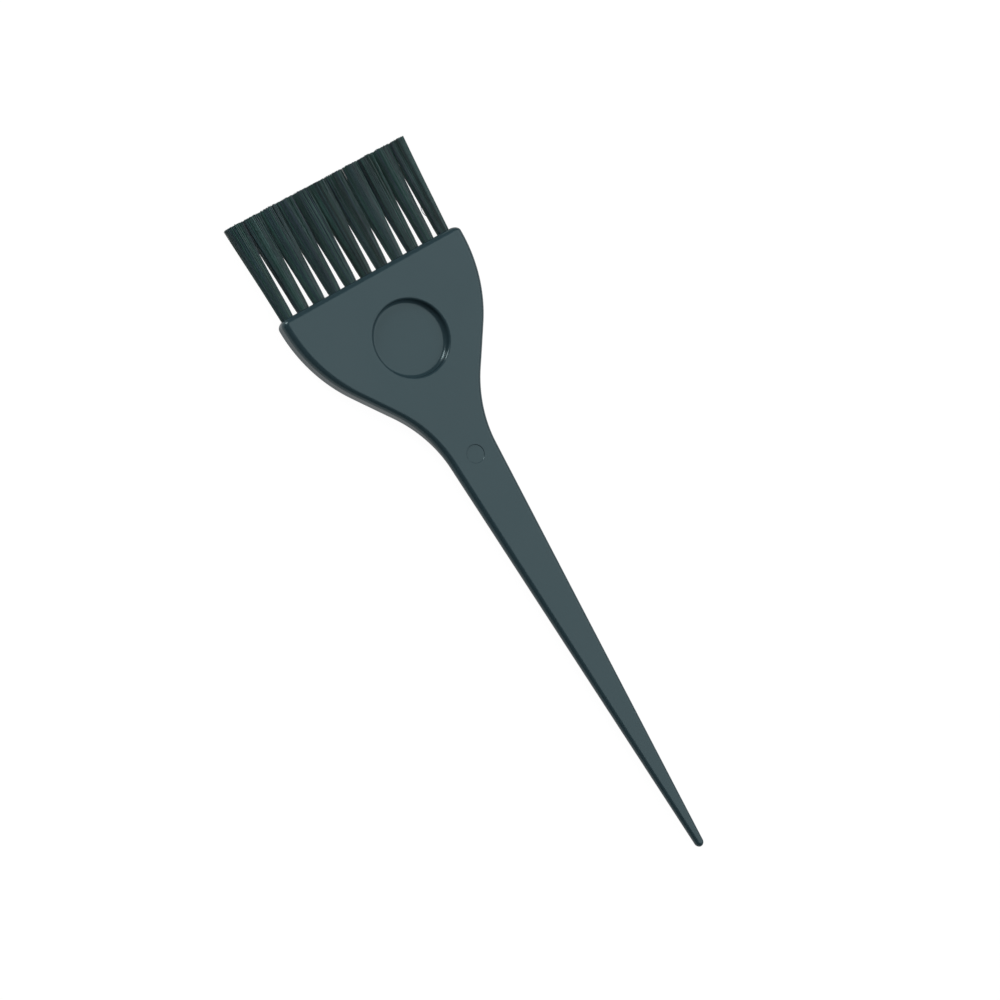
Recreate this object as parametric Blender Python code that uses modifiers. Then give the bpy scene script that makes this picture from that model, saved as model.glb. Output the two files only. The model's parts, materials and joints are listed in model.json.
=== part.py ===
"""Hair-tint brush: a moulded plastic handle set with one row of staple-held bristle tufts.

The brush lies on its underside. +Y runs to the bristle tips, +X across the head and +Z up,
and the origin is on the table under the middle of the whole length. Lengths are in metres,
and a "distance" along the handle is measured back from the head's front face.
"""

import math
import random

import bmesh
import bpy
from mathutils import Matrix, Vector

# ---------------------------------------------------------------- handle, seen from above
HANDLE_LENGTH = 0.1857                  # front face to the tail's tip
HEAD_WIDTH = 0.0612                     # widest, just behind the front face
CORNER_RADIUS = 0.0020                  # front corners of the head
HEAD_SIDE_RADIUS = 0.0438               # convex side of the head
SHOULDER_ANGLE = math.radians(35.9)     # straight shoulder against the long axis
NECK_RADIUS = 0.0373                    # concave sweep from the shoulder into the tail
NECK_DISTANCE = 0.060                   # where the plain tapered tail begins
TAIL_ROOT_WIDTH = 0.0153
TAIL_TIP_WIDTH = 0.0025

# ---------------------------------------------------------------- handle, seen from the side
HEAD_THICKNESS = 0.0065
TAIL_ROOT_THICKNESS = 0.0038
TAIL_TIP_THICKNESS = 0.0026
HEAD_EDGE_RADIUS = 0.0020               # long edges of the head
TAIL_EDGE_RADIUS = 0.0018               # long edges of the tail
EDGE_LIMIT = 0.92                       # largest share of half a section that an edge radius takes
FRONT_RADIUS = 0.0018                   # above and below the front face
TIP_RADIUS = 0.0014                     # end of the tail
TIP_FLAT = 0.28                         # share of the tail's section left flat at its end

# ---------------------------------------------------------------- thumb recesses and ejector mark
RECESS_DIAMETER = 0.022
RECESS_DEPTH = 0.002
RECESS_FLOOR_RADIUS = 0.0013
RECESS_RIM_RADIUS = 0.0006
RECESS_WALL = 0.0029                    # plastic left between the tuft holes and a recess
RECESS_LAND = 0.0012                    # full thickness kept behind a recess
MARK_DIAMETER = 0.0053                  # shallow witness of the ejector pin
MARK_DEPTH = 0.00015
MARK_DISTANCE = 0.0582

# ---------------------------------------------------------------- tufts and their anchors
TUFT_COUNT = 11
TUFT_DIAMETER = 0.0036
TUFT_CLEARANCE = 0.0002                 # all round between a tuft and its hole
HOLE_DEPTH = 0.0075
HOLE_FLOOR_GAP = 0.0003
END_WALL = 0.0018                       # plastic beside the first and last hole, on average
ROW_OFFSET = -0.0006                    # the row is drilled a little left of the middle
BRISTLE_LENGTH = 0.0293                 # longest bristle outside the head
BRISTLE_TRIM = 0.0006                   # unevenness of the cut
BRISTLE_ROOT_INSET = 0.0004             # the bristles part just inside the hole's mouth
TIP_PITCH = 0.0055                      # from tuft to tuft at the tips, which fan out a little
TIP_HALF_DEPTH = 0.0023                 # spread of a tuft's tips above and below its axis
TIP_GAP = 0.00022                       # between the tips of neighbouring tufts
STRAND_WIDTH = 0.00034                  # side of the square section
STRAND_RINGS = 3                        # rings of 6, 12 and 18 strands round a middle one
STRAND_SKIN = 0.00004                   # kept between the outer strands and the tuft's side
ANCHOR_THICKNESS = 0.00035
ANCHOR_WIDTH = 0.0018
ANCHOR_BITE = 0.0004                    # how far each end reaches into the hole's wall
FOLD_THICKNESS = 0.0007                 # bristles doubled under the anchor
ANCHOR_CLEARANCE = 0.0002

# ---------------------------------------------------------------- mesh resolution
QUARTER_TURN = math.radians(90)
SHARP_ANGLE = math.radians(35)
CORNER_STEPS = 4
ROUND_STEPS = 4
HEAD_STEPS = 26
TAIL_STEPS = 8
RECESS_SEGMENTS = 64
MARK_SEGMENTS = 40
HOLE_SEGMENTS = 20
CUTTER_OVERSHOOT = 0.001
TRIM_SEED = 11

# ---------------------------------------------------------------- worked out from the above
FRONT_Y = (HANDLE_LENGTH - BRISTLE_LENGTH) / 2
MID_Z = HEAD_THICKNESS / 2
HOLE_RADIUS = TUFT_DIAMETER / 2 + TUFT_CLEARANCE
TUFT_PITCH = 2 * (HEAD_WIDTH / 2 - END_WALL - HOLE_RADIUS) / (TUFT_COUNT - 1)
ANCHOR_LENGTH = 2 * (HOLE_RADIUS + ANCHOR_BITE)
FOLD_DISTANCE = HOLE_DEPTH - HOLE_FLOOR_GAP - FOLD_THICKNESS
ANCHOR_DISTANCE = FOLD_DISTANCE - ANCHOR_CLEARANCE - ANCHOR_WIDTH / 2
RECESS_RADIUS = RECESS_DIAMETER / 2
RECESS_DISTANCE = HOLE_DEPTH + RECESS_WALL + RECESS_RADIUS
THINNING_DISTANCE = RECESS_DISTANCE + RECESS_RADIUS + RECESS_LAND
FRONT_ROUND = min(FRONT_RADIUS, EDGE_LIMIT * HEAD_THICKNESS / 2)
STRAND_RADIUS = STRAND_WIDTH / math.sqrt(2)


def clear_scene():
    """Remove what a new file starts with."""
    for old in list(bpy.data.objects):
        bpy.data.objects.remove(old, do_unlink=True)


def make_material(name, colour, roughness, metallic=0.0):
    """Return a Principled material of one colour."""
    material = bpy.data.materials.new(name)
    material.use_nodes = True
    material.diffuse_color = (*colour, 1.0)
    shader = material.node_tree.nodes["Principled BSDF"]
    shader.inputs["Base Color"].default_value = (*colour, 1.0)
    shader.inputs["Roughness"].default_value = roughness
    shader.inputs["Metallic"].default_value = metallic
    return material


def make_collection(name):
    """Return a new collection linked to the scene."""
    collection = bpy.data.collections.new(name)
    bpy.context.scene.collection.children.link(collection)
    return collection


def make_object(name, bm, collection, material=None):
    """Turn a bmesh into a smooth-shaded object of the collection."""
    mesh = bpy.data.meshes.new(name)
    bm.to_mesh(mesh)
    bm.free()
    mesh.shade_smooth()
    mesh.set_sharp_from_angle(angle=SHARP_ANGLE)
    if material:
        mesh.materials.append(material)
    made = bpy.data.objects.new(name, mesh)
    collection.objects.link(made)
    return made


def make_tool(name, bm, collection):
    """Turn a bmesh into a shape that only cuts or joins others."""
    tool = make_object(name, bm, collection)
    tool.display_type = "WIRE"
    tool.hide_render = True
    return tool


def add_boolean(target, name, operation, operand):
    """Cut or join the target with one object or with a whole collection."""
    modifier = target.modifiers.new(name, "BOOLEAN")
    modifier.operation = operation
    modifier.solver = "EXACT"
    if isinstance(operand, bpy.types.Collection):
        modifier.operand_type = "COLLECTION"
        modifier.collection = operand
    else:
        modifier.object = operand


# ================================================================ handle
def tail_line(distance, root_size, tip_size):
    """Return half of a tail size that tapers straight from the neck to the tip."""
    share = (distance - NECK_DISTANCE) / (HANDLE_LENGTH - NECK_DISTANCE)
    return (root_size + (tip_size - root_size) * share) / 2


def taken_off(radius, distance):
    """Return what a front rounding of the given radius takes off at a distance."""
    ahead = max(radius - distance, 0.0)
    return radius - math.sqrt(radius ** 2 - ahead ** 2)


def tip_share(distance):
    """Return the share of its size that the tail keeps in its rounded tip."""
    past = max(distance - (HANDLE_LENGTH - TIP_RADIUS), 0.0) / TIP_RADIUS
    return math.sqrt(1 - (1 - TIP_FLAT ** 2) * past ** 2)


def neck_share(distance):
    """Return how far the head has gone over into the tail, eased at both ends."""
    share = (distance - THINNING_DISTANCE) / (NECK_DISTANCE - THINNING_DISTANCE)
    share = min(max(share, 0.0), 1.0)
    return share * share * (3 - 2 * share)


def side_half_width(distance):
    """Return half the handle's width: convex side, straight shoulder, neck arc, tapered tail."""
    half_head = HEAD_WIDTH / 2
    sine, cosine = math.sin(SHOULDER_ANGLE), math.cos(SHOULDER_ANGLE)
    slope = math.tan(SHOULDER_ANGLE)
    arc_end = CORNER_RADIUS + HEAD_SIDE_RADIUS * sine
    arc_end_half = half_head - HEAD_SIDE_RADIUS * (1 - cosine)

    taper = (TAIL_ROOT_WIDTH - TAIL_TIP_WIDTH) / 2 / (HANDLE_LENGTH - NECK_DISTANCE)
    taper_angle = math.atan(taper)
    tail_at_front = tail_line(0.0, TAIL_ROOT_WIDTH, TAIL_TIP_WIDTH)
    corner = (arc_end_half + slope * arc_end - tail_at_front) / (slope - taper)
    tangent = NECK_RADIUS * math.tan((SHOULDER_ANGLE - taper_angle) / 2)
    neck_start = corner - tangent * cosine
    neck_end = corner + tangent * math.cos(taper_angle)

    if distance <= arc_end:
        reach = max(distance - CORNER_RADIUS, 0.0)
        return half_head - HEAD_SIDE_RADIUS + math.sqrt(HEAD_SIDE_RADIUS ** 2 - reach ** 2)
    if distance <= neck_start:
        return arc_end_half - slope * (distance - arc_end)
    if distance <= neck_end:
        centre = neck_start + NECK_RADIUS * sine
        centre_half = arc_end_half - slope * (neck_start - arc_end) + NECK_RADIUS * cosine
        return centre_half - math.sqrt(NECK_RADIUS ** 2 - (distance - centre) ** 2)
    return tail_line(distance, TAIL_ROOT_WIDTH, TAIL_TIP_WIDTH)


def face_half_thickness(distance):
    """Return half the handle's thickness: flat head, eased neck, tapered tail."""
    gone = neck_share(distance)
    tail_half = tail_line(distance, TAIL_ROOT_THICKNESS, TAIL_TIP_THICKNESS)
    return HEAD_THICKNESS / 2 * (1 - gone) + tail_half * gone


def handle_section(distance):
    """Return the rounded rectangle of the handle's section as points round the long axis."""
    kept = tip_share(distance)
    half_width = (side_half_width(distance) - taken_off(CORNER_RADIUS, distance)) * kept
    half_height = (face_half_thickness(distance) - taken_off(FRONT_ROUND, distance)) * kept
    gone = neck_share(distance)
    edge_radius = HEAD_EDGE_RADIUS * (1 - gone) + TAIL_EDGE_RADIUS * gone
    radius = min(edge_radius, EDGE_LIMIT * min(half_width, half_height))
    y = FRONT_Y - distance
    points = []
    for quarter in range(4):
        side_x = 1 if quarter in (0, 3) else -1
        side_z = 1 if quarter in (0, 1) else -1
        for step in range(CORNER_STEPS + 1):
            angle = QUARTER_TURN * (quarter + step / CORNER_STEPS)
            x = side_x * (half_width - radius) + radius * math.cos(angle)
            z = side_z * (half_height - radius) + radius * math.sin(angle)
            points.append(Vector((x, y, MID_Z + z)))
    return points


def even_steps(start, end, count):
    """Return evenly spaced values from the start up to, but not with, the end."""
    return [start + (end - start) * step / count for step in range(count)]


def handle_stations():
    """Return the distances of the handle's sections, closer together where it curves."""
    turns = [QUARTER_TURN * step / ROUND_STEPS for step in range(ROUND_STEPS + 1)]
    front_depth = max(CORNER_RADIUS, FRONT_ROUND)
    tip_start = HANDLE_LENGTH - TIP_RADIUS
    front = [front_depth * (1 - math.cos(turn)) for turn in turns[:-1]]
    head = even_steps(front_depth, NECK_DISTANCE, HEAD_STEPS)
    tail = even_steps(NECK_DISTANCE, tip_start, TAIL_STEPS)
    tip = [tip_start + TIP_RADIUS * math.sin(turn) for turn in turns]
    return front + head + tail + tip


def loft_handle():
    """Skin the handle's sections and close both ends."""
    bm = bmesh.new()
    rings = [[bm.verts.new(point) for point in handle_section(d)] for d in handle_stations()]
    for near, far in zip(rings, rings[1:]):
        for index in range(len(near)):
            following = (index + 1) % len(near)
            bm.faces.new((near[index], near[following], far[following], far[index]))
    bm.faces.new(reversed(rings[0]))
    bm.faces.new(rings[-1])
    bmesh.ops.recalc_face_normals(bm, faces=bm.faces)
    return bm


def arc(centre_x, centre_z, radius, start, end, steps):
    """Return points along a circle from one angle to another, both in degrees."""
    points = []
    for step in range(steps + 1):
        angle = math.radians(start + (end - start) * step / steps)
        points.append((centre_x + radius * math.cos(angle), centre_z + radius * math.sin(angle)))
    return points


def recess_profile():
    """Return half the recess's section: flared rim, wall, floor fillet and flat floor."""
    flare = 105
    rim = arc(RECESS_RADIUS + RECESS_RIM_RADIUS, -RECESS_RIM_RADIUS, RECESS_RIM_RADIUS, flare, 180, 3)
    fillet = min(RECESS_FLOOR_RADIUS, RECESS_DEPTH - RECESS_RIM_RADIUS)
    floor = arc(RECESS_RADIUS - fillet, fillet - RECESS_DEPTH, fillet, 0, -90, ROUND_STEPS)
    rim_x, rim_z = rim[0]
    above_x = rim_x - (CUTTER_OVERSHOOT - rim_z) * math.tan(math.radians(flare))
    return [(0.0, CUTTER_OVERSHOOT), (above_x, CUTTER_OVERSHOOT), *rim, *floor, (0.0, -RECESS_DEPTH)]


def make_recess_tool(name, face_z, tilt, collection):
    """Return the turned cutter of a thumb recess in the face at the given height."""
    bm = bmesh.new()
    verts = [bm.verts.new((x, 0.0, z)) for x, z in recess_profile()]
    for first, second in zip(verts, verts[1:]):
        bm.edges.new((first, second))
    tool = make_tool(name, bm, collection)
    tool.location = (0.0, FRONT_Y - RECESS_DISTANCE, face_z)
    tool.rotation_euler = (tilt, 0.0, 0.0)
    turned = tool.modifiers.new("Turned", "SCREW")
    turned.axis = "Z"
    turned.steps = RECESS_SEGMENTS
    turned.render_steps = RECESS_SEGMENTS
    turned.use_merge_vertices = True
    turned.merge_threshold = 0.00001


def cylinder(radius, length, segments):
    """Return a closed cylinder along Y, centred on the origin."""
    bm = bmesh.new()
    along_y = Matrix.Rotation(QUARTER_TURN, 4, "X")
    bmesh.ops.create_cone(bm, cap_ends=True, segments=segments, radius1=radius, radius2=radius,
                          depth=length, matrix=along_y)
    return bm


def box(size):
    """Return a closed box of the given size, centred on the origin."""
    bm = bmesh.new()
    bmesh.ops.create_cube(bm, size=1.0, matrix=Matrix.Diagonal((*size, 1.0)))
    return bm


def anchor_space(length):
    """Return a box round an anchor's section, with clearance, of the given length."""
    return box((ANCHOR_THICKNESS + 2 * ANCHOR_CLEARANCE, ANCHOR_WIDTH + 2 * ANCHOR_CLEARANCE, length))


def make_mark_tool(collection):
    """Return the cutter of the round ejector mark on the tail's root."""
    depth = CUTTER_OVERSHOOT + MARK_DEPTH
    tool = make_tool("ejector mark", cylinder(MARK_DIAMETER / 2, depth, MARK_SEGMENTS), collection)
    surface_z = MID_Z + face_half_thickness(MARK_DISTANCE)
    tool.location = (0.0, FRONT_Y - MARK_DISTANCE, surface_z - MARK_DEPTH + depth / 2)
    tool.rotation_euler = (QUARTER_TURN, 0.0, 0.0)


def make_handle(material, collection):
    """Build the moulded handle with its recesses, tuft holes and anchor pockets."""
    handle = make_object("handle", loft_handle(), collection, material)

    face_tools = make_collection("face tools")
    make_recess_tool("recess above", HEAD_THICKNESS, 0.0, face_tools)
    make_recess_tool("recess below", 0.0, math.pi, face_tools)
    make_mark_tool(face_tools)
    add_boolean(handle, "Recesses and mark", "DIFFERENCE", face_tools)

    hole_tools = make_collection("hole tools")
    pocket_tools = make_collection("pocket tools")
    drill_length = HOLE_DEPTH + CUTTER_OVERSHOOT
    for number, x in enumerate(tuft_places(), start=1):
        drill = cylinder(HOLE_RADIUS, drill_length, HOLE_SEGMENTS)
        hole = make_tool(f"hole {number:02d}", drill, hole_tools)
        hole.location = (x, FRONT_Y + CUTTER_OVERSHOOT - drill_length / 2, MID_Z)
        pocket_box = anchor_space(ANCHOR_LENGTH + 2 * ANCHOR_CLEARANCE)
        pocket = make_tool(f"pocket {number:02d}", pocket_box, pocket_tools)
        pocket.location = (x, FRONT_Y - ANCHOR_DISTANCE, MID_Z)
    add_boolean(handle, "Tuft holes", "DIFFERENCE", hole_tools)
    add_boolean(handle, "Anchor pockets", "DIFFERENCE", pocket_tools)


# ================================================================ tufts and anchors
def tuft_places():
    """Return the x of each tuft's axis, left to right."""
    first = ROW_OFFSET - TUFT_PITCH * (TUFT_COUNT - 1) / 2
    return [first + TUFT_PITCH * number for number in range(TUFT_COUNT)]


def strand_layout():
    """Return each strand's angle and its share of the tuft's radius: a middle one and full rings."""
    places = [(0.0, 0.0)]
    for ring in range(1, STRAND_RINGS + 1):
        count = 6 * ring
        for number in range(count):
            places.append((math.tau * number / count, ring / STRAND_RINGS))
    return places


def add_strand(bm, root, tip, angle):
    """Add one square strand that runs straight from its root to its tip."""
    turned = Matrix.Rotation(angle + QUARTER_TURN / 2, 4, "Z")
    made = bmesh.ops.create_cone(bm, cap_ends=True, segments=4, radius1=STRAND_RADIUS,
                                 radius2=STRAND_RADIUS, depth=2.0, matrix=turned)
    for vert in made["verts"]:
        end = tip if vert.co.z > 0 else root
        vert.co = end + Vector((vert.co.x, 0.0, vert.co.y))


def strands_mesh(lean, trim):
    """Return a tuft's strands, opening evenly from the packed root to the spread tips."""
    bm = bmesh.new()
    root_radius = TUFT_DIAMETER / 2 - STRAND_RADIUS - STRAND_SKIN
    tip_half_width = (TIP_PITCH - TIP_GAP - STRAND_WIDTH) / 2
    tip_half_depth = TIP_HALF_DEPTH - STRAND_WIDTH / 2
    root_y = -BRISTLE_ROOT_INSET - STRAND_WIDTH
    for index, (angle, share) in enumerate(strand_layout()):
        across, up = share * math.cos(angle), share * math.sin(angle)
        length = BRISTLE_LENGTH - (BRISTLE_TRIM * trim.random() if index else 0.0)
        root = Vector((root_radius * across, root_y, root_radius * up))
        tip = Vector((lean + tip_half_width * across, length, tip_half_depth * up))
        add_strand(bm, root, tip, angle)
    bmesh.ops.recalc_face_normals(bm, faces=bm.faces)
    return bm


def make_tuft(number, x, trim, material, collection, tools):
    """Build one tuft: the plug packed in its hole, folded over the anchor, and its strands."""
    place = Vector((x, FRONT_Y, MID_Z))
    plug_length = HOLE_DEPTH - HOLE_FLOOR_GAP - BRISTLE_ROOT_INSET
    plug = cylinder(TUFT_DIAMETER / 2, plug_length, HOLE_SEGMENTS)
    plug_middle = Vector((0.0, -BRISTLE_ROOT_INSET - plug_length / 2, 0.0))
    bmesh.ops.translate(plug, verts=plug.verts, vec=plug_middle)
    tuft = make_object(f"tuft_{number:02d}", plug, collection, material)
    tuft.location = place

    fold_box = anchor_space(TUFT_DIAMETER + 2 * CUTTER_OVERSHOOT)
    fold = make_tool(f"fold {number:02d}", fold_box, tools)
    fold.location = place - Vector((0.0, ANCHOR_DISTANCE, 0.0))
    add_boolean(tuft, "Fold over the anchor", "DIFFERENCE", fold)

    tip_middle = TIP_PITCH * (number - (TUFT_COUNT + 1) / 2)
    strands = make_tool(f"strands {number:02d}", strands_mesh(tip_middle - x, trim), tools)
    strands.location = place
    add_boolean(tuft, "Strands", "UNION", strands)


def make_anchor(number, x, material, collection):
    """Build one flat wire anchor across its hole."""
    strip = box((ANCHOR_THICKNESS, ANCHOR_WIDTH, ANCHOR_LENGTH))
    anchor = make_object(f"anchor_{number:02d}", strip, collection, material)
    anchor.location = (x, FRONT_Y - ANCHOR_DISTANCE, MID_Z)


def main():
    """Build the whole brush."""
    clear_scene()
    brush = make_collection("tint brush")
    tools = make_collection("tuft tools")
    plastic = make_material("slate plastic", (0.024, 0.063, 0.070), 0.36)
    nylon = make_material("bristle nylon", (0.013, 0.026, 0.026), 0.42)
    steel = make_material("anchor steel", (0.60, 0.59, 0.56), 0.35, metallic=1.0)

    make_handle(plastic, brush)
    trim = random.Random(TRIM_SEED)
    for number, x in enumerate(tuft_places(), start=1):
        make_tuft(number, x, trim, nylon, brush, tools)
        make_anchor(number, x, steel, brush)


main()
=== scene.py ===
"""Looks of the hair-tint brush: satin slate plastic, folded nylon filaments, wire anchors.

The brush lies on a white table. +Y runs to the bristle tips, +X across the head and +Z up.
Lengths are in metres, and a "distance" along the handle is measured back from the head's
front face. A "reach" along a bristle is measured forwards from that face.
"""

import json
import math
import random

import bmesh
import bpy
from mathutils import Matrix, Vector

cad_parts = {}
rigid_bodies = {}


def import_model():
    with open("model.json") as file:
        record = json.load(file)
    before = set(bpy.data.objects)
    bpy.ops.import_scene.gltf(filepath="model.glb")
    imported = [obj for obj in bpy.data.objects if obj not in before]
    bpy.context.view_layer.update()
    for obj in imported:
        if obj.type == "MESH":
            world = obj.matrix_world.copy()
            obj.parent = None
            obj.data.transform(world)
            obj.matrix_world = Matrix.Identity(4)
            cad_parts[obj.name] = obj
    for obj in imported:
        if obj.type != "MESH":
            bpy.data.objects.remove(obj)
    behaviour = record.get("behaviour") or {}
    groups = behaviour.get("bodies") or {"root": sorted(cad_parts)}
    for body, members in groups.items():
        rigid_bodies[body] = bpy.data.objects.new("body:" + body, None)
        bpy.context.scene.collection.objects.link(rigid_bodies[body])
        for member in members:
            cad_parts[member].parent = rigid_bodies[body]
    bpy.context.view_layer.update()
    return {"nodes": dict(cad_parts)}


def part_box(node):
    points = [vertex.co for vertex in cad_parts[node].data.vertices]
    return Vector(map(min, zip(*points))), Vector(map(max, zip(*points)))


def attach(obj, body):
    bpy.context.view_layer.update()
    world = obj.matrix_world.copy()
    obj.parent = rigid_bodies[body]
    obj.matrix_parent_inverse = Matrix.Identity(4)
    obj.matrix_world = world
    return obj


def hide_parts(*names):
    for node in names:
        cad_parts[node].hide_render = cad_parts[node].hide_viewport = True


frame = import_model()

# ---------------------------------------------------------------- read from the frame
HANDLE_LOW, HANDLE_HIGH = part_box("handle")
FRONT_Y = HANDLE_HIGH.y
HANDLE_LENGTH = HANDLE_HIGH.y - HANDLE_LOW.y
HEAD_WIDTH = HANDLE_HIGH.x - HANDLE_LOW.x
HEAD_THICKNESS = HANDLE_HIGH.z - HANDLE_LOW.z
MID_Z = (HANDLE_LOW.z + HANDLE_HIGH.z) / 2
TUFT_NODES = sorted(name for name in frame["nodes"] if name.startswith("tuft_"))
ANCHOR_NODES = sorted(name for name in frame["nodes"] if name.startswith("anchor_"))
ANCHOR_BOXES = [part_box(name) for name in ANCHOR_NODES]
TUFT_PLACES = [(low.x + high.x) / 2 for low, high in ANCHOR_BOXES]
TUFT_PITCH = TUFT_PLACES[1] - TUFT_PLACES[0]
TIP_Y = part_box(TUFT_NODES[0])[1].y
TUFT_END_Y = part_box(TUFT_NODES[0])[0].y
BRISTLE_LENGTH = TIP_Y - FRONT_Y

# ---------------------------------------------------------------- handle
CORNER_RADIUS = 0.0020
HEAD_SIDE_RADIUS = 0.0438
SHOULDER_ANGLE = math.radians(35.9)
NECK_RADIUS = 0.0373
NECK_DISTANCE = 0.060
TAIL_ROOT_WIDTH = 0.0153
TAIL_TIP_WIDTH = 0.0025
TAIL_ROOT_THICKNESS = 0.0038
TAIL_TIP_THICKNESS = 0.0026
HEAD_EDGE_RADIUS = 0.0020
TAIL_EDGE_RADIUS = 0.0018
EDGE_LIMIT = 0.92
FRONT_ROUND = 0.0018
TIP_RADIUS = 0.0014
TIP_FLAT = 0.28
RECESS_RADIUS = 0.0111
RECESS_DEPTH = 0.002
RECESS_FLOOR_RADIUS = 0.0013
RECESS_RIM_RADIUS = 0.0007
RECESS_RIM_START = 92                   # degrees on the rim's arc, just past its top
RECESS_DISTANCE = 0.0214
RECESS_SHIFT = 0.0003                   # a little right of the middle
THINNING_DISTANCE = 0.0336
MARK_RADIUS = 0.00265
MARK_DEPTH = 0.00015
MARK_DISTANCE = 0.0582
HOLE_RADIUS = 0.0020
HOLE_DEPTH = 0.0075
POCKET_CLEARANCE = 0.0002

# ---------------------------------------------------------------- mesh resolution
QUARTER_TURN = math.radians(90)
SHARP_ANGLE = math.radians(40)
CORNER_STEPS = 12
ROUND_STEPS = 10
HEAD_STEPS = 110
TAIL_STEPS = 40
RECESS_SEGMENTS = 160
MARK_SEGMENTS = 64
HOLE_SEGMENTS = 40
RIM_STEPS = 8
CUTTER_OVERSHOOT = 0.001
MERGE_DISTANCE = 0.000002

# ---------------------------------------------------------------- bristles
FILAMENT_RADIUS = 0.00009
FILAMENT_SIDES = 5
PAIRS_PER_TUFT = 112                    # filaments folded in two, so twice as many tips
ROOT_RADIUS = 0.00194                   # packed tuft at the hole's mouth
MOUTH_FLARE = 0.00014                   # how much a tuft swells as it leaves its hole
MOUTH_REACH = 0.0010
TIP_PITCH = 0.0055                      # the tufts fan out a little towards their tips
GAP_LENGTHS = (0.0249, 0.0178, 0.0176, 0.0178, 0.0173,
               0.0187, 0.0132, 0.0147, 0.0182, 0.0265)
GAP_POWER = 1.4                         # gaps close slowly at the root and faster further out
NEIGHBOUR_OVERLAP = 0.00012             # how far closed tufts run into each other
TIP_HALF_DEPTH = 0.0022
TIP_SQUARENESS = 0.6                    # closed tufts press each other square
TRIM = 0.00035                          # unevenness of the cut
WISP_TRIM = 0.55                        # share of it that a whole wisp has in common
WISPS_PER_TUFT = 22
WISP_TURN = 2.4                         # from one wisp to the next round the tuft, in radians
WISP_PULL = 0.12                        # how far filaments gather into their wisp at the tips
WISP_LEAN = 0.00010                     # sideways lean of a wisp's tips
FILAMENT_LEAN = 0.00009                 # sideways lean of single tips
FILAMENT_WAVE = 0.00004
STRAIGHT_LIMIT = 0.8                    # filaments further out on a free side stay straight
TONE_SPREAD = 0.16                      # between the filaments of one wisp
STRAY_TUFT = 10                         # holds the one kinked filament
STRAY_PLACE = (-0.97, 0.10)             # its share of the tuft's section
STRAY_REACH = (0.0060, 0.0098)          # where it bows out of its tuft
STRAY_BOW = 0.0007
STRAY_STEPS = 6
FOLD_GAP = 0.0001                       # between the last fold and the end of the tuft
REACH_STEPS = 12
FOLD_STEPS = 5
BRISTLE_SEED = 7

# ---------------------------------------------------------------- table, light and camera
TABLE_GLOW = 1.08                       # brings the table up to plain white
TABLE_REFLECTED = 0.70                  # its level in reflections
TABLE_WHITE = 0.9
TABLE_GLOW_SHARE = 0.9                  # what is left shows the brush's shadow
TABLE_REACH = 20.0
TABLE_GAP = 0.0001                      # keeps the table clear of the underside
SOFT_BOX_POWER = 20.2
SOFT_BOX_SIZE = 2.2
SOFT_BOX_OFFSET = (0.81, -0.25, 1.24)
STRIP_POWER = 3.2
STRIP_SIZE = (0.20, 0.50)
STRIP_OFFSET = (-0.25, 0.86, 0.325)
ROOM_LIGHT = (0.05, 0.05, 0.053)
CAMERA_DISTANCE = 0.7122
CAMERA_TILT = math.radians(22.48)       # leans to the brush's left side
CAMERA_PITCH = math.radians(2.90)       # leans towards the bristles
CAMERA_ROLL = math.radians(30.23)
CAMERA_LENS = 91.73
SENSOR_WIDTH = 36.0
CAMERA_TARGET = Vector((0.00013, FRONT_Y - 0.07283, MID_Z))


# ================================================================ shared helpers
def make_object(name, mesh, material):
    """Link a smooth-shaded mesh to the scene under a name."""
    mesh.shade_smooth()
    mesh.set_sharp_from_angle(angle=SHARP_ANGLE)
    mesh.materials.append(material)
    made = bpy.data.objects.new(name, mesh)
    bpy.context.scene.collection.objects.link(made)
    return made


def mesh_from(bm, name):
    """Turn a bmesh into a mesh."""
    mesh = bpy.data.meshes.new(name)
    bm.to_mesh(mesh)
    bm.free()
    return mesh


def join_nodes(tree, source, source_socket, target, target_socket):
    """Link one node's output to another's input."""
    tree.links.new(source.outputs[source_socket], target.inputs[target_socket])


def new_material(name):
    """Return an empty node material, its tree and its Principled shader."""
    material = bpy.data.materials.new(name)
    material.use_nodes = True
    tree = material.node_tree
    return material, tree, tree.nodes["Principled BSDF"]


def noise(tree, coordinates, scale, detail, stretch=(1.0, 1.0, 1.0)):
    """Return a noise texture over the object's own coordinates."""
    mapping = tree.nodes.new("ShaderNodeMapping")
    mapping.inputs["Scale"].default_value = stretch
    join_nodes(tree, coordinates, "Object", mapping, "Vector")
    texture = tree.nodes.new("ShaderNodeTexNoise")
    texture.inputs["Scale"].default_value = scale
    texture.inputs["Detail"].default_value = detail
    join_nodes(tree, mapping, "Vector", texture, "Vector")
    return texture


def ramp(tree, source, stops):
    """Return a colour ramp over a node's Fac output, from (position, colour) stops."""
    node = tree.nodes.new("ShaderNodeValToRGB")
    elements = node.color_ramp.elements
    while len(elements) < len(stops):
        elements.new(0.5)
    for element, (position, colour) in zip(elements, stops):
        element.position = position
        element.color = (*colour, 1.0)
    join_nodes(tree, source, "Fac", node, "Fac")
    return node


def map_range(tree, texture, low, high):
    """Return a node that spreads a noise texture's usual values over the given range."""
    node = tree.nodes.new("ShaderNodeMapRange")
    node.inputs["From Min"].default_value = 0.3
    node.inputs["From Max"].default_value = 0.7
    node.inputs["To Min"].default_value = low
    node.inputs["To Max"].default_value = high
    join_nodes(tree, texture, "Fac", node, "Value")
    return node


def add_bump(tree, texture, strength, distance, normal=None):
    """Return a bump node over a noise texture, on top of another one if given."""
    node = tree.nodes.new("ShaderNodeBump")
    node.inputs["Strength"].default_value = strength
    node.inputs["Distance"].default_value = distance
    join_nodes(tree, texture, "Fac", node, "Height")
    if normal:
        join_nodes(tree, normal, "Normal", node, "Normal")
    return node


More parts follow.
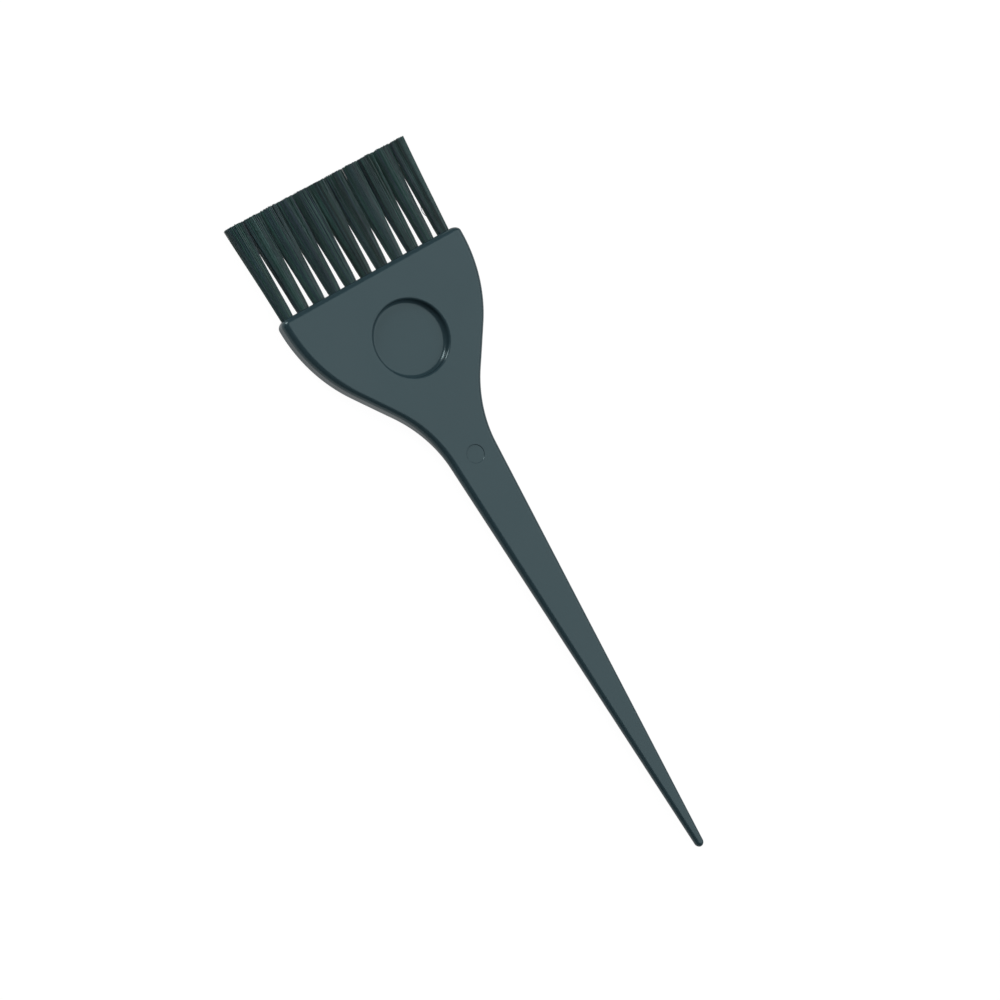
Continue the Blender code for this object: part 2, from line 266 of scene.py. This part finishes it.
# ================================================================ materials
def slate_plastic():
    """Moulded polypropylene: satin, faintly mottled, with a spark-eroded grain."""
    material, tree, shader = new_material("slate plastic")
    place = tree.nodes.new("ShaderNodeTexCoord")
    mottle = noise(tree, place, 45.0, 5.0)
    tint = ramp(tree, mottle, (
        (0.30, (0.0310, 0.0620, 0.0745)),
        (0.52, (0.0330, 0.0645, 0.0770)),
        (0.72, (0.0350, 0.0660, 0.0785))))
    join_nodes(tree, tint, "Color", shader, "Base Color")
    flow = noise(tree, place, 90.0, 3.0, stretch=(1.0, 0.35, 1.0))
    rough = map_range(tree, flow, 0.20, 0.24)
    join_nodes(tree, rough, "Result", shader, "Roughness")
    grain = noise(tree, place, 2600.0, 2.0)
    waves = noise(tree, place, 70.0, 1.0)
    soft = add_bump(tree, waves, 0.08, 0.0004)
    fine = add_bump(tree, grain, 0.07, 0.00006, normal=soft)
    join_nodes(tree, fine, "Normal", shader, "Normal")
    shader.inputs["IOR"].default_value = 1.49
    shader.inputs["Specular Tint"].default_value = (0.75, 0.97, 1.0, 1.0)
    return material


def bristle_nylon():
    """Dyed nylon filaments: each wisp has its own tone, from near-black to grey-green."""
    material, tree, shader = new_material("bristle nylon")
    tone = tree.nodes.new("ShaderNodeAttribute")
    tone.attribute_name = "tone"
    hues = ramp(tree, tone, (
        (0.00, (0.0160, 0.0360, 0.0420)),
        (0.20, (0.0280, 0.0900, 0.0720)),
        (0.40, (0.0400, 0.0660, 0.1040)),
        (0.60, (0.0160, 0.1040, 0.0760)),
        (0.80, (0.0640, 0.0900, 0.1120)),
        (1.00, (0.0560, 0.1400, 0.1300))))
    place = tree.nodes.new("ShaderNodeTexCoord")
    patches = noise(tree, place, 260.0, 3.0, stretch=(1.0, 0.25, 1.0))
    shade = map_range(tree, patches, 0.70, 1.25)
    shaded = tree.nodes.new("ShaderNodeVectorMath")
    shaded.operation = "SCALE"
    join_nodes(tree, hues, "Color", shaded, "Vector")
    join_nodes(tree, shade, "Result", shaded, "Scale")
    join_nodes(tree, shaded, "Vector", shader, "Base Color")
    gloss = noise(tree, place, 900.0, 1.0)
    rough = map_range(tree, gloss, 0.40, 0.52)
    join_nodes(tree, rough, "Result", shader, "Roughness")
    fine = add_bump(tree, gloss, 0.10, 0.00003)
    join_nodes(tree, fine, "Normal", shader, "Normal")
    shader.inputs["IOR"].default_value = 1.53
    shader.inputs["Specular IOR Level"].default_value = 0.62
    return material


def anchor_steel():
    """Drawn flat wire: brushed along its length, slightly uneven in tone."""
    material, tree, shader = new_material("anchor steel")
    place = tree.nodes.new("ShaderNodeTexCoord")
    drawn = noise(tree, place, 6000.0, 2.0, stretch=(1.0, 1.0, 0.04))
    tint = ramp(tree, drawn, ((0.3, (0.50, 0.49, 0.46)), (0.7, (0.66, 0.65, 0.62))))
    join_nodes(tree, tint, "Color", shader, "Base Color")
    rough = map_range(tree, drawn, 0.24, 0.42)
    join_nodes(tree, rough, "Result", shader, "Roughness")
    scratches = add_bump(tree, drawn, 0.2, 0.00002)
    join_nodes(tree, scratches, "Normal", shader, "Normal")
    shader.inputs["Metallic"].default_value = 1.0
    return material


def maximum(tree, first, first_socket, second, second_socket):
    """Return a node that gives the larger of two values."""
    node = tree.nodes.new("ShaderNodeMath")
    node.operation = "MAXIMUM"
    join_nodes(tree, first, first_socket, node, 0)
    join_nodes(tree, second, second_socket, node, 1)
    return node


def mix_shaders(tree, first, first_socket, second, second_socket):
    """Return a node that mixes two shaders."""
    node = tree.nodes.new("ShaderNodeMixShader")
    join_nodes(tree, first, first_socket, node, 1)
    join_nodes(tree, second, second_socket, node, 2)
    return node


def table_white():
    """White table: plain white to the camera and in reflections, with a faint shadow kept."""
    material = bpy.data.materials.new("white table")
    material.use_nodes = True
    tree = material.node_tree
    tree.nodes.clear()
    output = tree.nodes.new("ShaderNodeOutputMaterial")
    lit = tree.nodes.new("ShaderNodeBsdfDiffuse")
    lit.inputs["Color"].default_value = (TABLE_WHITE, TABLE_WHITE, TABLE_WHITE, 1.0)
    path = tree.nodes.new("ShaderNodeLightPath")
    level = tree.nodes.new("ShaderNodeMath")
    level.operation = "MULTIPLY_ADD"
    level.inputs[1].default_value = TABLE_GLOW - TABLE_REFLECTED
    level.inputs[2].default_value = TABLE_REFLECTED
    join_nodes(tree, path, "Is Camera Ray", level, 0)
    glow = tree.nodes.new("ShaderNodeEmission")
    join_nodes(tree, level, "Value", glow, "Strength")
    paper = mix_shaders(tree, lit, "BSDF", glow, "Emission")
    paper.inputs["Fac"].default_value = TABLE_GLOW_SHARE
    seen = maximum(tree, path, "Is Camera Ray", path, "Is Glossy Ray")
    seen_through = maximum(tree, seen, "Value", path, "Is Transmission Ray")
    choice = mix_shaders(tree, lit, "BSDF", paper, "Shader")
    join_nodes(tree, seen_through, "Value", choice, "Fac")
    join_nodes(tree, choice, "Shader", output, "Surface")
    return material


# ================================================================ handle
def tail_line(distance, root_size, tip_size):
    """Return half of a tail size that tapers straight from the neck to the tip."""
    share = (distance - NECK_DISTANCE) / (HANDLE_LENGTH - NECK_DISTANCE)
    return (root_size + (tip_size - root_size) * share) / 2


def taken_off(radius, distance):
    """Return what a front rounding of the given radius takes off at a distance."""
    ahead = max(radius - distance, 0.0)
    return radius - math.sqrt(radius ** 2 - ahead ** 2)


def tip_share(distance):
    """Return the share of its size that the tail keeps in its rounded tip."""
    past = min(max(distance - (HANDLE_LENGTH - TIP_RADIUS), 0.0) / TIP_RADIUS, 1.0)
    return math.sqrt(1 - (1 - TIP_FLAT ** 2) * past ** 2)


def neck_share(distance):
    """Return how far the head has gone over into the tail, eased at both ends."""
    share = (distance - THINNING_DISTANCE) / (NECK_DISTANCE - THINNING_DISTANCE)
    share = min(max(share, 0.0), 1.0)
    return share * share * (3 - 2 * share)


def side_half_width(distance):
    """Return half the handle's width: convex side, straight shoulder, neck arc, tapered tail."""
    half_head = HEAD_WIDTH / 2
    sine, cosine = math.sin(SHOULDER_ANGLE), math.cos(SHOULDER_ANGLE)
    slope = math.tan(SHOULDER_ANGLE)
    arc_end = CORNER_RADIUS + HEAD_SIDE_RADIUS * sine
    arc_end_half = half_head - HEAD_SIDE_RADIUS * (1 - cosine)

    taper = (TAIL_ROOT_WIDTH - TAIL_TIP_WIDTH) / 2 / (HANDLE_LENGTH - NECK_DISTANCE)
    taper_angle = math.atan(taper)
    tail_at_front = tail_line(0.0, TAIL_ROOT_WIDTH, TAIL_TIP_WIDTH)
    corner = (arc_end_half + slope * arc_end - tail_at_front) / (slope - taper)
    tangent = NECK_RADIUS * math.tan((SHOULDER_ANGLE - taper_angle) / 2)
    neck_start = corner - tangent * cosine
    neck_end = corner + tangent * math.cos(taper_angle)

    if distance <= arc_end:
        reach = max(distance - CORNER_RADIUS, 0.0)
        return half_head - HEAD_SIDE_RADIUS + math.sqrt(HEAD_SIDE_RADIUS ** 2 - reach ** 2)
    if distance <= neck_start:
        return arc_end_half - slope * (distance - arc_end)
    if distance <= neck_end:
        centre = neck_start + NECK_RADIUS * sine
        centre_half = arc_end_half - slope * (neck_start - arc_end) + NECK_RADIUS * cosine
        return centre_half - math.sqrt(NECK_RADIUS ** 2 - (distance - centre) ** 2)
    return tail_line(distance, TAIL_ROOT_WIDTH, TAIL_TIP_WIDTH)


def face_half_thickness(distance):
    """Return half the handle's thickness: flat head, eased neck, tapered tail."""
    gone = neck_share(distance)
    tail_half = tail_line(distance, TAIL_ROOT_THICKNESS, TAIL_TIP_THICKNESS)
    return HEAD_THICKNESS / 2 * (1 - gone) + tail_half * gone


def handle_section(distance):
    """Return the rounded rectangle of the handle's section as points round the long axis."""
    kept = tip_share(distance)
    half_width = (side_half_width(distance) - taken_off(CORNER_RADIUS, distance)) * kept
    half_height = (face_half_thickness(distance) - taken_off(FRONT_ROUND, distance)) * kept
    gone = neck_share(distance)
    edge_radius = HEAD_EDGE_RADIUS * (1 - gone) + TAIL_EDGE_RADIUS * gone
    radius = min(edge_radius, EDGE_LIMIT * min(half_width, half_height))
    points = []
    for quarter in range(4):
        side_x = 1 if quarter in (0, 3) else -1
        side_z = 1 if quarter in (0, 1) else -1
        for step in range(CORNER_STEPS + 1):
            angle = QUARTER_TURN * (quarter + step / CORNER_STEPS)
            x = side_x * (half_width - radius) + radius * math.cos(angle)
            z = side_z * (half_height - radius) + radius * math.sin(angle)
            points.append(Vector((x, FRONT_Y - distance, MID_Z + z)))
    return points


def even_steps(start, end, count):
    """Return evenly spaced values from the start up to, but not with, the end."""
    return [start + (end - start) * step / count for step in range(count)]


def handle_stations():
    """Return the distances of the handle's sections, closer together where it curves."""
    turns = [QUARTER_TURN * step / ROUND_STEPS for step in range(ROUND_STEPS + 1)]
    front_depth = max(CORNER_RADIUS, FRONT_ROUND)
    tip_start = HANDLE_LENGTH - TIP_RADIUS
    front = [front_depth * (1 - math.cos(turn)) for turn in turns[:-1]]
    head = even_steps(front_depth, NECK_DISTANCE, HEAD_STEPS)
    tail = even_steps(NECK_DISTANCE, tip_start, TAIL_STEPS)
    tip = [tip_start + TIP_RADIUS * math.sin(turn) for turn in turns]
    return front + head + tail + tip


def loft_handle():
    """Skin the handle's sections and close both ends."""
    bm = bmesh.new()
    rings = [[bm.verts.new(point) for point in handle_section(d)] for d in handle_stations()]
    for near, far in zip(rings, rings[1:]):
        for index in range(len(near)):
            following = (index + 1) % len(near)
            bm.faces.new((near[index], near[following], far[following], far[index]))
    bm.faces.new(reversed(rings[0]))
    bm.faces.new(rings[-1])
    bmesh.ops.recalc_face_normals(bm, faces=bm.faces)
    return bm


def arc(centre_x, centre_z, radius, start, end, steps):
    """Return points along a circle from one angle to another, both in degrees."""
    points = []
    for step in range(steps + 1):
        angle = math.radians(start + (end - start) * step / steps)
        points.append((centre_x + radius * math.cos(angle), centre_z + radius * math.sin(angle)))
    return points


def turned_cutter(profile, segments):
    """Return a solid turned about Z from a half section that starts and ends on the axis."""
    bm = bmesh.new()
    verts = [bm.verts.new((x, 0.0, z)) for x, z in profile]
    edges = [bm.edges.new(pair) for pair in zip(verts, verts[1:])]
    bmesh.ops.spin(bm, geom=verts + edges, axis=(0, 0, 1), cent=(0, 0, 0), dvec=(0, 0, 0),
                   angle=math.tau, steps=segments)
    bmesh.ops.remove_doubles(bm, verts=bm.verts, dist=MERGE_DISTANCE)
    bmesh.ops.recalc_face_normals(bm, faces=bm.faces)
    return bm


def recess_cutter():
    """Return the cutter of a thumb recess below z = 0: rounded rim, fillet and floor."""
    rim = arc(RECESS_RADIUS + RECESS_RIM_RADIUS, -RECESS_RIM_RADIUS, RECESS_RIM_RADIUS,
              RECESS_RIM_START, 180, RIM_STEPS)
    floor = arc(RECESS_RADIUS - RECESS_FLOOR_RADIUS, RECESS_FLOOR_RADIUS - RECESS_DEPTH,
                RECESS_FLOOR_RADIUS, 0, -90, ROUND_STEPS)
    above_x = rim[0][0] + RECESS_RIM_RADIUS
    profile = [(0.0, CUTTER_OVERSHOOT), (above_x, CUTTER_OVERSHOOT), *rim, *floor,
               (0.0, -RECESS_DEPTH)]
    return turned_cutter(profile, RECESS_SEGMENTS)


def mark_cutter():
    """Return the cutter of the shallow ejector mark below z = 0, with a softened edge."""
    profile = [(0.0, CUTTER_OVERSHOOT), (MARK_RADIUS + MARK_DEPTH, CUTTER_OVERSHOOT),
               (MARK_RADIUS + MARK_DEPTH / 2, 0.0), (MARK_RADIUS - MARK_DEPTH / 2, -MARK_DEPTH),
               (0.0, -MARK_DEPTH)]
    return turned_cutter(profile, MARK_SEGMENTS)


def hole_cutter(length):
    """Return a cylinder along Y that reaches forwards from the hole's floor."""
    bm = bmesh.new()
    matrix = Matrix.Translation((0.0, length / 2, 0.0)) @ Matrix.Rotation(QUARTER_TURN, 4, "X")
    bmesh.ops.create_cone(bm, cap_ends=True, segments=HOLE_SEGMENTS, radius1=HOLE_RADIUS,
                          radius2=HOLE_RADIUS, depth=length, matrix=matrix)
    return bm


def pocket_cutter(low, high):
    """Return a box round an anchor, with its clearance."""
    bm = bmesh.new()
    size = [high[i] - low[i] + 2 * POCKET_CLEARANCE for i in range(3)]
    bmesh.ops.create_cube(bm, size=1.0, matrix=Matrix.Diagonal((*size, 1.0)))
    return bm


def add_cutter(name, bm, collection, location, tilt=0.0):
    """Place one cutter in a collection."""
    cutter = bpy.data.objects.new(name, mesh_from(bm, name))
    collection.objects.link(cutter)
    cutter.location = location
    cutter.rotation_euler = (tilt, 0.0, 0.0)


def cut_away(target, collection):
    """Cut a collection's solids out of the target for good, and remove them."""
    bpy.context.scene.collection.children.link(collection)
    modifier = target.modifiers.new("cut", "BOOLEAN")
    modifier.operation = "DIFFERENCE"
    modifier.solver = "EXACT"
    modifier.operand_type = "COLLECTION"
    modifier.collection = collection
    bpy.context.view_layer.update()
    evaluated = target.evaluated_get(bpy.context.evaluated_depsgraph_get())
    mesh = bpy.data.meshes.new_from_object(evaluated)
    target.modifiers.remove(modifier)
    target.data = mesh
    for cutter in list(collection.objects):
        bpy.data.objects.remove(cutter)
    bpy.data.collections.remove(collection)


def make_handle(material):
    """Build the moulded handle with its recesses, ejector mark, tuft holes and pockets."""
    handle = make_object("moulded_handle", mesh_from(loft_handle(), "moulded_handle"), material)

    faces = bpy.data.collections.new("face cutters")
    recess_y = FRONT_Y - RECESS_DISTANCE
    add_cutter("recess above", recess_cutter(), faces,
               (RECESS_SHIFT, recess_y, MID_Z + HEAD_THICKNESS / 2))
    add_cutter("recess below", recess_cutter(), faces,
               (RECESS_SHIFT, recess_y, MID_Z - HEAD_THICKNESS / 2), math.pi)
    mark_z = MID_Z + face_half_thickness(MARK_DISTANCE)
    add_cutter("mark", mark_cutter(), faces, (0.0, FRONT_Y - MARK_DISTANCE, mark_z))
    cut_away(handle, faces)

    holes = bpy.data.collections.new("hole cutters")
    for x in TUFT_PLACES:
        add_cutter("hole", hole_cutter(HOLE_DEPTH + CUTTER_OVERSHOOT), holes,
                   (x, FRONT_Y - HOLE_DEPTH, MID_Z))
    cut_away(handle, holes)
    pockets = bpy.data.collections.new("pocket cutters")
    for low, high in ANCHOR_BOXES:
        add_cutter("pocket", pocket_cutter(low, high), pockets, (low + high) / 2)
    cut_away(handle, pockets)

    handle.data.shade_smooth()
    handle.data.set_sharp_from_angle(angle=SHARP_ANGLE)
    even = handle.modifiers.new("even shading", "WEIGHTED_NORMAL")
    even.keep_sharp = True
    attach(handle, "root")
    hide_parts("handle")


# ================================================================ bristles
def closing(reach, gap_length):
    """Return how far a tuft's side has come towards its neighbour's, from 0 to 1."""
    return min(max(reach, 0.0) / gap_length, 1.0) ** GAP_POWER


def inner_spread(reach, gap_length):
    """Return a tuft's half width beside a neighbour: opening until the gap has closed."""
    share = max(reach, 0.0) / BRISTLE_LENGTH
    touching = (TUFT_PITCH + (TIP_PITCH - TUFT_PITCH) * share) / 2 + NEIGHBOUR_OVERLAP
    free = ROOT_RADIUS + MOUTH_FLARE * min(max(reach, 0.0) / MOUTH_REACH, 1.0)
    return free + (touching - free) * closing(reach, gap_length)


def outer_spread(reach):
    """Return the half width of the first or last tuft on its free side."""
    share = max(reach, 0.0) / BRISTLE_LENGTH
    return ROOT_RADIUS + (TIP_PITCH / 2 - ROOT_RADIUS) * share


def depth_spread(reach):
    """Return a tuft's half depth, which opens evenly towards the tips."""
    share = max(reach, 0.0) / BRISTLE_LENGTH
    return ROOT_RADIUS + (TIP_HALF_DEPTH - ROOT_RADIUS) * math.sin(share * QUARTER_TURN)


class Tuft:
    """One tuft's place, the spread of its two sides and its wisps."""

    def __init__(self, index, rng):
        self.x = TUFT_PLACES[index]
        last = len(TUFT_PLACES) - 1
        self.tip_shift = (index - last / 2) * TIP_PITCH - self.x
        self.gaps = (GAP_LENGTHS[index - 1] if index > 0 else None,
                     GAP_LENGTHS[index] if index < last else None)
        self.wisps = []
        for number in range(WISPS_PER_TUFT):
            angle = WISP_TURN * number + rng.uniform(-0.3, 0.3)
            radius = math.sqrt((number + 0.5) / WISPS_PER_TUFT)
            self.wisps.append({"across": radius * math.cos(angle), "up": radius * math.sin(angle),
                               "tone": rng.random(), "trim": rng.random(),
                               "bend": rng.uniform(-1, 1)})

    def nearest_wisp(self, across, up):
        """Return the wisp that a filament at this place belongs to."""
        return min(self.wisps, key=lambda w: (w["across"] - across) ** 2 + (w["up"] - up) ** 2)

    def point(self, across, up, reach):
        """Return the centre of a filament at a share of the tuft's section and a reach."""
        gap = self.gaps[0 if across < 0 else 1]
        half_width = inner_spread(reach, gap) if gap else outer_spread(reach)
        share = max(reach, 0.0) / BRISTLE_LENGTH
        longest = max(abs(across), abs(up), 0.001)
        square = 1 + TIP_SQUARENESS * share * (math.hypot(across, up) / longest - 1)
        x = self.x + self.tip_shift * share + across * square * (half_width - FILAMENT_RADIUS)
        z = MID_Z + up * square * (depth_spread(reach) - FILAMENT_RADIUS)
        return Vector((x, FRONT_Y + reach, z))


def filament_ends():
    """Return shares of the tuft's section for the filaments of its right half."""
    golden = math.pi * (3 - math.sqrt(5))
    ends = []
    number = 0
    while len(ends) < PAIRS_PER_TUFT:
        radius = math.sqrt((number + 0.5) / (2 * PAIRS_PER_TUFT + 6))
        angle = golden * number
        across, up = radius * math.cos(angle), radius * math.sin(angle)
        number += 1
        if across > 0 and radius <= 1:
            ends.append((across, up))
    return ends


def outer_path(tuft, across, up, rng):
    """Return one filament end's points from the hole's mouth to its tip, and its tone."""
    wisp = tuft.nearest_wisp(across, up)
    trim = WISP_TRIM * wisp["trim"] + (1 - WISP_TRIM) * rng.random()
    length = BRISTLE_LENGTH - TRIM * trim
    phase, swing = rng.uniform(0, math.tau), rng.gauss(0, 1)
    points = []
    for step in range(REACH_STEPS + 1):
        share = step / REACH_STEPS
        reach = length * share
        pull = WISP_PULL * share
        along = across + (wisp["across"] - across) * pull
        over = up + (wisp["up"] - up) * pull
        point = tuft.point(along, over, reach)
        wave = FILAMENT_WAVE * math.sin(phase + 5 * share) * share
        lean = (FILAMENT_LEAN * swing + WISP_LEAN * wisp["bend"]) * share * share
        room = 0.0 if abs(along) > STRAIGHT_LIMIT and None in tuft.gaps else 1.0
        points.append(point + Vector(((wave + lean) * room, 0.0, wave)))
    return points, min(max(wisp["tone"] + rng.gauss(0, TONE_SPREAD), 0.0), 1.0)


def stray_path(tuft, rng):
    """Return the points and tone of the kinked filament that bows out into a gap."""
    points, tone = outer_path(tuft, *STRAY_PLACE, rng)
    start, end = STRAY_REACH
    path = [point for point in points if not start <= point.y - FRONT_Y <= end]
    for step in range(STRAY_STEPS + 1):
        share = step / STRAY_STEPS
        reach = start + (end - start) * share
        bow = STRAY_BOW * math.sin(math.pi * share) ** 0.7
        path.append(tuft.point(*STRAY_PLACE, reach) - Vector((bow, 0.0, 0.0)))
    return sorted(path, key=lambda point: point.y), tone


def fold_points(tuft, across, up, anchor_low, anchor_high):
    """Return the points of a filament inside its hole, from the right side round to the left."""
    clear = (anchor_high.x - anchor_low.x) / 2 + POCKET_CLEARANCE + FILAMENT_RADIUS
    outermost = ROOT_RADIUS - FILAMENT_RADIUS
    inner = clear + abs(across) * (outermost - clear)
    z = MID_Z + up * outermost
    floor_y = anchor_low.y - POCKET_CLEARANCE - FILAMENT_RADIUS
    depth = (floor_y - FOLD_GAP - TUFT_END_Y) * (inner - clear) / (ROOT_RADIUS - clear)
    points = [Vector((tuft.x + inner, anchor_high.y, z))]
    for step in range(FOLD_STEPS + 1):
        angle = math.pi * step / FOLD_STEPS
        points.append(Vector((tuft.x + inner * math.cos(angle),
                              floor_y - depth * math.sin(angle), z)))
    points.append(Vector((tuft.x - inner, anchor_high.y, z)))
    return points


def tube_rings(points):
    """Return a filament's rings of vertices round its path of points."""
    rings = []
    side = Vector((0.0, 0.0, 1.0))
    for index, point in enumerate(points):
        before = points[max(index - 1, 0)]
        after = points[min(index + 1, len(points) - 1)]
        along = (after - before).normalized()
        across = along.cross(side).normalized()
        up = across.cross(along)
        ring = []
        for number in range(FILAMENT_SIDES):
            angle = math.tau * number / FILAMENT_SIDES
            outward = across * math.cos(angle) + up * math.sin(angle)
            ring.append(point + outward * FILAMENT_RADIUS)
        rings.append(ring)
    return rings


class FilamentMesh:
    """Vertices, faces and tones of many filaments, gathered into one mesh."""

    def __init__(self):
        self.verts, self.faces, self.tones = [], [], []

    def add(self, points, tones):
        """Add one filament, closed at both ends, with a tone for each of its points."""
        rings = tube_rings(points)
        sides = FILAMENT_SIDES
        start = len(self.verts)
        for ring, tone in zip(rings, tones):
            self.verts.extend(ring)
            self.tones.extend([tone] * sides)
        for row in range(len(rings) - 1):
            for number in range(sides):
                following = (number + 1) % sides
                a, b = start + row * sides + number, start + row * sides + following
                self.faces.append((a, a + sides, b + sides, b))
        self.faces.append(tuple(start + number for number in range(sides)))
        last = start + (len(rings) - 1) * sides
        self.faces.append(tuple(last + number for number in reversed(range(sides))))

    def mesh(self, name):
        """Return the gathered filaments as a mesh with a tone attribute."""
        made = bpy.data.meshes.new(name)
        made.from_pydata(self.verts, [], self.faces)
        tone = made.attributes.new("tone", "FLOAT", "POINT")
        tone.data.foreach_set("value", self.tones)
        made.validate()
        return made


def make_tuft(index, material, rng):
    """Build one tuft of filaments that run from tip to tip, folded round the anchor."""
    tuft = Tuft(index, rng)
    filaments = FilamentMesh()
    anchor_low, anchor_high = ANCHOR_BOXES[index]
    for across, up in filament_ends():
        right, right_tone = outer_path(tuft, across, up, rng)
        left, left_tone = outer_path(tuft, -across, up, rng)
        fold = fold_points(tuft, across, up, anchor_low, anchor_high)
        points = list(reversed(right)) + fold + left
        middle = len(right) + len(fold) // 2
        tones = [right_tone if place < middle else left_tone for place in range(len(points))]
        filaments.add(points, tones)
    if index == STRAY_TUFT:
        points, tone = stray_path(tuft, rng)
        filaments.add(points, [tone] * len(points))
    name = f"filaments_{index + 1:02d}"
    made = make_object(name, filaments.mesh(name), material)
    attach(made, "root")
    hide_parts(TUFT_NODES[index])


# ================================================================ anchors
def finish_anchors(material):
    """Give the anchors, which stay as the frame has them, their drawn-wire finish."""
    for name in ANCHOR_NODES:
        node = frame["nodes"][name]
        node.data.materials.clear()
        node.data.materials.append(material)


# ================================================================ stage, light and camera
def make_table():
    """Lay the white table under the brush."""
    bm = bmesh.new()
    bmesh.ops.create_grid(bm, x_segments=1, y_segments=1, size=TABLE_REACH)
    table = bpy.data.objects.new("table", mesh_from(bm, "table"))
    table.data.materials.append(table_white())
    bpy.context.scene.collection.objects.link(table)
    table.location = (0.0, 0.0, HANDLE_LOW.z - TABLE_GAP)


def area_light(name, power, size, offset, target):
    """Hang a rectangular light of a (width, height) that faces a point."""
    data = bpy.data.lights.new(name, "AREA")
    data.energy = power
    data.shape = "RECTANGLE"
    data.size, data.size_y = size
    light = bpy.data.objects.new(name, data)
    bpy.context.scene.collection.objects.link(light)
    light.location = target + Vector(offset)
    light.rotation_euler = (-Vector(offset)).to_track_quat("-Z", "Y").to_euler()


def make_lights():
    """Light the brush: large soft box on its right, strip beyond the tips, dim room."""
    centre = Vector((0.0, 0.0, MID_Z))
    area_light("soft box", SOFT_BOX_POWER, (SOFT_BOX_SIZE, SOFT_BOX_SIZE), SOFT_BOX_OFFSET, centre)
    area_light("strip", STRIP_POWER, STRIP_SIZE, STRIP_OFFSET, centre)
    world = bpy.data.worlds.new("room")
    world.use_nodes = True
    world.node_tree.nodes["Background"].inputs["Color"].default_value = (*ROOM_LIGHT, 1.0)
    bpy.context.scene.world = world


def make_camera():
    """Look down at the brush from its left, rolled so that it lies across the frame."""
    toward = Vector((-math.sin(CAMERA_TILT) * math.cos(CAMERA_PITCH), math.sin(CAMERA_PITCH),
                     math.cos(CAMERA_TILT) * math.cos(CAMERA_PITCH)))
    right = Vector((math.cos(CAMERA_TILT), 0.0, math.sin(CAMERA_TILT)))
    right = (right - toward * right.dot(toward)).normalized()
    up = toward.cross(right)
    sine, cosine = math.sin(CAMERA_ROLL), math.cos(CAMERA_ROLL)
    axes = Matrix((cosine * right - sine * up, sine * right + cosine * up, toward)).transposed()
    data = bpy.data.cameras.new("camera")
    data.lens = CAMERA_LENS
    data.sensor_width = SENSOR_WIDTH
    camera = bpy.data.objects.new("camera", data)
    bpy.context.scene.collection.objects.link(camera)
    place = Matrix.Translation(CAMERA_TARGET + toward * CAMERA_DISTANCE)
    camera.matrix_world = place @ axes.to_4x4()
    bpy.context.scene.camera = camera


# ================================================================ the whole scene
make_camera()
make_lights()
make_table()
make_handle(slate_plastic())
nylon = bristle_nylon()
bristle_rng = random.Random(BRISTLE_SEED)
for tuft_index in range(len(TUFT_PLACES)):
    make_tuft(tuft_index, nylon, bristle_rng)
finish_anchors(anchor_steel())
bpy.context.scene.view_settings.view_transform = "Standard"
